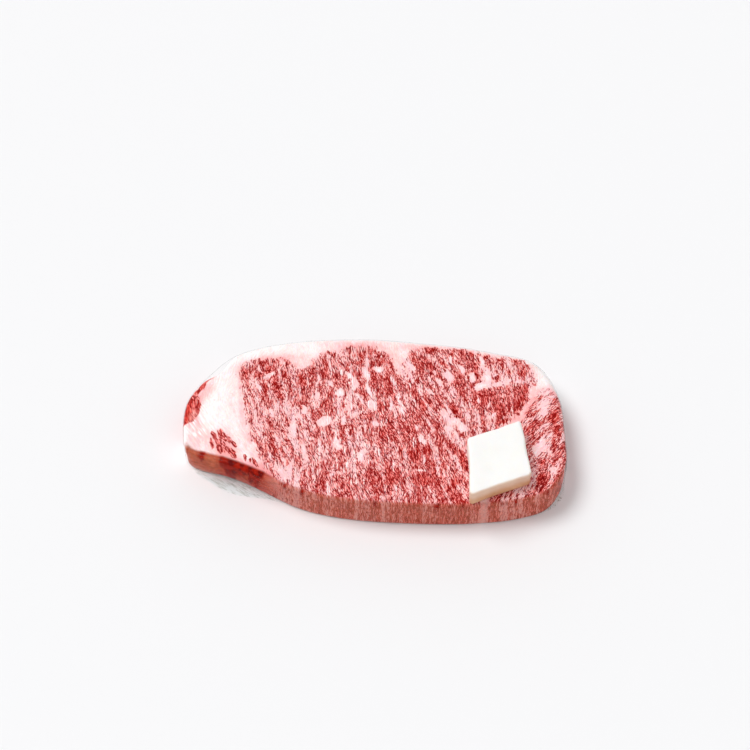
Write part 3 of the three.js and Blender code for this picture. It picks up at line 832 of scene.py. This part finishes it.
def make_meat(fields, ring, heights):
    edge = smooth_loop(ring, EDGE_STEP)
    behind = MEAT_INSET + hump(edge[:, 0], edge[:, 1], HOLLOWS)
    loop = even_steps(edge - outward(edge) * behind[:, None], EDGE_STEP)
    field = fields["field"]
    coarse, face = heights
    shoulder = shoulder_radius(loop)
    plump = smoothstep(fields["amount"], -1.5, 1.5) * (1 - fields["pure"]) + fields["pure"]
    relief = FAT_RELIEF * (field.blur(plump, 0.3) - 0.6)

    def height_at(x, y):
        return coarse.at(face, x, y) - MEAT_UNDER_FILM + field.at(relief, x, y)

    foot = height_at(loop[:, 0], loop[:, 1]) - shoulder
    waves = field.noise(2.2)
    wall = []
    for share in MEAT_RINGS:
        z = foot * share
        wave = field.at(waves, loop[:, 0] + 9 * share, loop[:, 1]) - 1
        wall.append((WALL_WAVES * wave * math.sin(math.pi * share) - leaning(loop, z), z))
    for shift, z in ((-0.25, 0.8), (-0.7, 0.3), (-1.4, 0.12)):
        wall.append((shift - leaning(loop, 0), z))
    slab = Slab(loop, shoulder, height_at, wall, FACE_STEP, UNDERSIDE_STEP)

    x, y = slab.points[:, 0], slab.points[:, 1]
    sideways = slab.nearest(slab.points[:, :2], loop)
    facing = outward(loop)[sideways]
    # The wall carries on the pattern of the face that lies a little further in.
    inward = facing * (slab.depth * PATTERN_REACH)[:, None]
    sx, sy = x - inward[:, 0], y - inward[:, 1]
    inside = -((slab.points[:, :2] - loop[sideways]) * facing).sum(1)
    edge_x, edge_y = loop[sideways, 0], loop[sideways, 1]
    # The near side's painted shade and colours reach a strip onto the face, wider at the thin end.
    strip = EDGE_STRIPS[0] + (EDGE_STRIPS[1] - EDGE_STRIPS[0]) * smoothstep(-edge_x, 45, 60)
    strip = strip - 1.2 * smoothstep(-edge_x, 90, 98)
    near_side = np.where(slab.depth > 0, 1, smoothstep(strip + 0.4 - inside, 0, 2.0))
    near_side = near_side * smoothstep(-facing[:, 1], 0.1, 0.6)
    drips = field.at(field.noise(0.9), edge_x + 5 * slab.depth, edge_y)
    stain = hump(edge_x, edge_y, STAINS) - slab.depth * 1.35 + 0.26 * drips
    stain = smoothstep(stain, 0.15, 0.5) * near_side
    numbers = {name: field.at(fields[name], sx, sy) for name in ("amount", "pure", "blood", "pink")}

    # On the far wall of the thin end the lean fades into fat towards the foot.
    far_tip = smoothstep(-edge_x, 84, 92) * smoothstep(facing[:, 1], -0.8, -0.3)
    far_tip = far_tip * smoothstep(slab.depth + 0.1 * drips, 0.02, 0.4)
    numbers["amount"] = numbers["amount"] * (1 - 0.85 * far_tip) + 0.9 * far_tip
    numbers["blood"] = numbers["blood"] * (1 - 0.8 * far_tip)

    # Painted shade on the near side: strongest at the thin end, a little lighter towards the foot.
    numbers["tan"] = near_side * (0.5 + 0.5 * smoothstep(-x, 40, 60))
    numbers["tan"] = numbers["tan"] * (1 - 0.3 * smoothstep(slab.depth, 0.4, 0.9))
    numbers["skin"] = 0.5 * near_side * smoothstep(x, -60, -40)
    numbers["stain"] = stain
    on_face = 1 - slab.turn
    # Where the painted film highlights go: upright lines over the middle, slanted ones at the thin end.
    room_x, room_y = UPRIGHT_HIGHLIGHTS_HALF_SIZE - abs(x), UPRIGHT_HIGHLIGHTS_HALF_SIZE - y
    numbers["upright"] = 0.28 * smoothstep(room_x, 0, 15) * smoothstep(room_y, 0, 8) * on_face
    numbers["slanted_highlights"] = 0.9 * hump(x, y, [SLANTED_HIGHLIGHTS]) * on_face
    for name in ("across", "along"):
        numbers[name] = field.at(fields[name], x, y)
    make_piece("meat", slab.points, slab.faces, numbers, meat_material(), "steak")


def make_film(fields, ring, heights):
    loop = smooth_loop(ring, FILM_EDGE_STEP)
    coarse, face = heights
    creases = Field(0.5, seed=21)
    diagonal = creases.streaks(0.7, 5.0, np.full(creases.X.shape, math.radians(128)))
    upright = creases.streaks(0.6, 6.0, np.full(creases.X.shape, math.radians(97)))
    left = smoothstep(-creases.X, 55, 80)
    pull = 0.04 * diagonal * (0.3 + 0.7 * left) + 0.02 * upright * (1 - left)

    def height_at(x, y):
        return coarse.at(face, x, y) + creases.at(pull, x, y) - FILM_UNDER_SOLID

    shoulder = shoulder_radius(loop)
    foot = height_at(loop[:, 0], loop[:, 1]) - shoulder
    reach = hump(loop[:, 0], loop[:, 1], HEMS)
    run = np.arange(len(loop)) * FILM_EDGE_STEP
    crumple = 0.5 * np.sin(run / 1.3 + 2 * np.sin(run / 4.1)) + 0.3 * np.sin(run / 0.71 + np.sin(run / 2.3))
    hem = np.clip(reach / 5.0, 0, 1)
    wall = []
    for share in FILM_RINGS:
        wall.append((-0.1 + 0.12 * hem * crumple - leaning(loop, foot * share), foot * share))
    wall += [
        (0.22 * reach - 0.15 + 0.3 * hem * crumple - leaning(loop, 2), 2.2 + 0.5 * hem * crumple),
        (0.5 * reach - 0.25 + 0.2 * hem * np.roll(crumple, 2), 1.3 + 0.55 * hem * np.roll(crumple, 1)),
        (0.8 * reach - 0.4, 0.8 + 0.45 * hem * np.roll(crumple, 3)),
        (0.92 * reach - 0.5, 0.5 + 0.3 * hem * np.roll(crumple, 4)),
        (0.92 * reach - 0.7, 0.1),
        (-1.6 - leaning(loop, 0), 0.07),
    ]
    slab = Slab(loop, shoulder, height_at, wall, FILM_FACE_STEP, FILM_UNDERSIDE_STEP)
    x, y, z = slab.points.T
    by_hem = hump(x, y, [(hem_x, hem_y, hem_reach + 4, 1.0) for hem_x, hem_y, hem_reach, length in HEMS])
    low = smoothstep(4.5 - z, 0, 3.5) * np.clip(by_hem * 3, 0, 1)
    facing = outward(loop)[slab.nearest(slab.points[:, :2], loop)]
    near_wall = smoothstep(slab.turn, 0.3, 0.8) * smoothstep(-facing[:, 1], 0, 0.5)
    # The hem's low part gets the fold lines: folded film with painted shade.
    numbers = {"crinkle": 0.03 + 0.45 * low, "folded_with_shade": low, "shine": 1 - 0.85 * near_wall}
    points, faces = thin_shell(slab.points, slab.faces, FILM_THICKNESS)
    numbers = {name: np.tile(values, 2) for name, values in numbers.items()}
    film = make_piece("film", points, faces, numbers, film_material(), "steak")
    film.visible_shadow = False


def thin_shell(points, faces, thickness):
    """A closed surface and the same surface a little further in, facing inwards."""
    a, b, c = (points[faces[:, k]] for k in range(3))
    normals = np.zeros(points.shape)
    for k in range(3):
        np.add.at(normals, faces[:, k], np.cross(b - a, c - a))
    normals /= np.maximum(np.linalg.norm(normals, axis=1), 1e-12)[:, None]
    inner = points - normals * thickness
    return np.vstack([points, inner]), np.vstack([faces, faces[:, ::-1] + len(points)])


def make_tallow():
    ring = ring_of("tallow_block", TALLOW_RING_LEVEL)
    low, high = (np.array(corner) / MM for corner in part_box("tallow_block"))
    loop = smooth_loop(ring, TALLOW_EDGE_STEP)
    coarse, face = face_heights("tallow_block", loop, TALLOW_SHOULDER + 0.7)
    field = Field(0.5, seed=11)
    waves, chips = field.noise(2.5), field.noise(0.8)

    def height_at(x, y):
        return np.minimum(coarse.at(face, x, y) + 0.07 * field.at(waves, x, y), high[2] - 0.02)

    edge = field.at(field.noise(1.4), loop[:, 0], loop[:, 1])
    shoulder = TALLOW_SHOULDER + 0.3 * edge
    foot = height_at(loop[:, 0], loop[:, 1]) - shoulder
    wall = []
    for share in TALLOW_RINGS:
        z = low[2] + (foot - low[2]) * share
        wall.append((0.08 * field.at(chips, loop[:, 0] + 4 * share, loop[:, 1]) - 0.12, z))
    wall += [(-0.3, low[2] + 0.45), (-0.9, low[2] + 0.08)]
    slab = Slab(loop, shoulder, height_at, wall, TALLOW_FACE_STEP, TALLOW_UNDERSIDE_STEP)
    sideways = slab.nearest(slab.points[:, :2], loop)
    facing = outward(loop)[sideways]
    inset = -((slab.points[:, :2] - loop[sideways]) * facing).sum(1)
    # Painted shade: the front side and the near edges of the face take the darker flank colour, more so
    # towards the foot.
    front = smoothstep(-facing[:, 1], -0.1, 0.5)
    lower = 0.75 + 0.25 * smoothstep(slab.depth, 0.1, 0.6)
    side = np.where(slab.depth > 0, lower, 0.75 * smoothstep(1.3 - inset, 0, 1.2)) * (0.2 + 0.8 * front)
    make_piece(
        "tallow", slab.points, slab.faces, {"side": side}, tallow_material(), "tallow_block")


# Stage, light and camera

def make_stage():
    half = FLOOR_HALF_SIZE * MM
    z = FLOOR_LEVEL * MM
    corners = [(-half, -half, z), (half, -half, z), (half, half, z), (-half, half, z)]
    mesh = bpy.data.meshes.new("floor")
    mesh.from_pydata(corners, [], [(0, 1, 2, 3)])
    mesh.materials.append(floor_material())
    floor = bpy.data.objects.new("floor", mesh)
    bpy.context.scene.collection.objects.link(floor)


def make_light():
    scene = bpy.context.scene
    world = bpy.data.worlds.new("studio")
    scene.world = world
    world.use_nodes = True
    tree = world.node_tree
    sky = add_node(tree, "TexCoord").outputs["Generated"]
    height = add_node(tree, "SeparateXYZ", None, Vector=sky).outputs["Z"]
    walls = between(tree, height, 0.3, 0.75, WALL_LIGHT, CEILING_LIGHT)
    tree.links.new(walls, tree.nodes["Background"].inputs["Strength"])
    tree.nodes["Background"].inputs["Color"].default_value = (1, 1, 1, 1)
    scene.view_settings.view_transform = "Standard"
    for name, (azimuth, elevation, spread, strength) in LAMPS.items():
        data = bpy.data.lights.new(name, "SUN")
        data.angle = math.radians(spread)
        data.energy = strength
        lamp = bpy.data.objects.new(name, data)
        scene.collection.objects.link(lamp)
        a, e = math.radians(azimuth), math.radians(elevation)
        towards = Vector((-math.sin(a) * math.cos(e), math.cos(a) * math.cos(e), math.sin(e)))
        lamp.rotation_mode = "QUATERNION"
        lamp.rotation_quaternion = towards.to_track_quat("Z", "Y")


def make_camera():
    data = bpy.data.cameras.new("camera")
    data.lens = CAMERA_LENS
    camera = bpy.data.objects.new("camera", data)
    camera.location = Vector(CAMERA_PLACE) * MM
    camera.rotation_euler = [math.radians(turn) for turn in CAMERA_TURN]
    bpy.context.scene.collection.objects.link(camera)
    bpy.context.scene.camera = camera


make_camera()
make_light()
make_stage()
steak_ring = ring_of("steak", STEAK_RING_LEVEL)
steak_heights = face_heights("steak", smooth_loop(steak_ring, 1.0), SOFT_SHOULDER + 0.6)
meat_fields = marbling()
make_meat(meat_fields, steak_ring, steak_heights)
make_film(meat_fields, steak_ring, steak_heights)
make_tallow()
